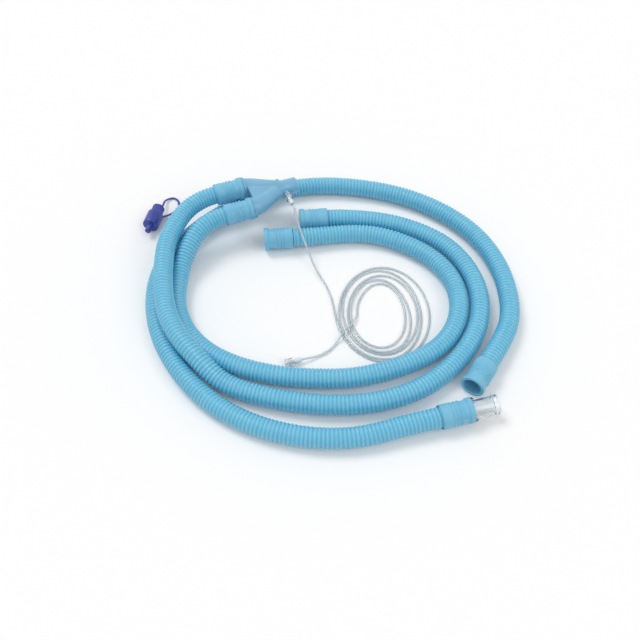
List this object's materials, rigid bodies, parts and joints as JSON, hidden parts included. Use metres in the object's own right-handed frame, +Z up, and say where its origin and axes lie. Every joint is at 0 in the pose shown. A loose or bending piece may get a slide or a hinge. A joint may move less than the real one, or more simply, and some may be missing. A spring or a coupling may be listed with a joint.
{
  "type": "anesthesia breathing circuit",
  "caption": "Coiled blue corrugated breathing hoses with a parallel Y-piece, soft end cuffs, a bag hose with its clear connector, a gas sampling line and a port plug on a strap.",
  "frame": {"origin": "on the surface that the circuit lies on, under the middle of its box without the sampling line", "axes": "+X to the right along the longest side of the box, +Y away from the viewer, +Z up, the way the flat coil is thinnest"},
  "size_m": [0.4962, 0.4378, 0.056],
  "materials": {
    "y_piece_blue": "translucent moulded plastic, glossy",
    "cuff_blue": "soft moulded elastomer, satin",
    "hose_blue": "thin translucent corrugated plastic, satin",
    "clear_plastic": "clear moulded plastic, glossy",
    "clear_line": "clear soft tubing, glossy",
    "hub_white": "moulded plastic",
    "plug_violet": "moulded elastomer, satin gloss"
  },
  "bodies": {
    "root": {"y_piece": "y_piece_blue", "inspiratory_hose": "hose_blue", "expiratory_hose": "hose_blue", "bag_hose": "hose_blue", "y_cuff_inspiratory": "cuff_blue", "y_cuff_expiratory": "cuff_blue", "machine_cuff_inspiratory": "cuff_blue", "machine_cuff_expiratory": "cuff_blue", "bag_hose_cuff_a": "cuff_blue", "bag_hose_cuff_b": "cuff_blue", "bag_connector": "clear_plastic", "sampling_line_coil": "clear_line", "sampling_line_lead_patient": "clear_line", "sampling_line_lead_monitor": "clear_line", "luer_hub_patient": "hub_white", "luer_collar_patient": "clear_plastic", "luer_hub_monitor": "hub_white", "luer_collar_monitor": "clear_plastic", "port_plug": "plug_violet"}
  },
  "joints": []
}
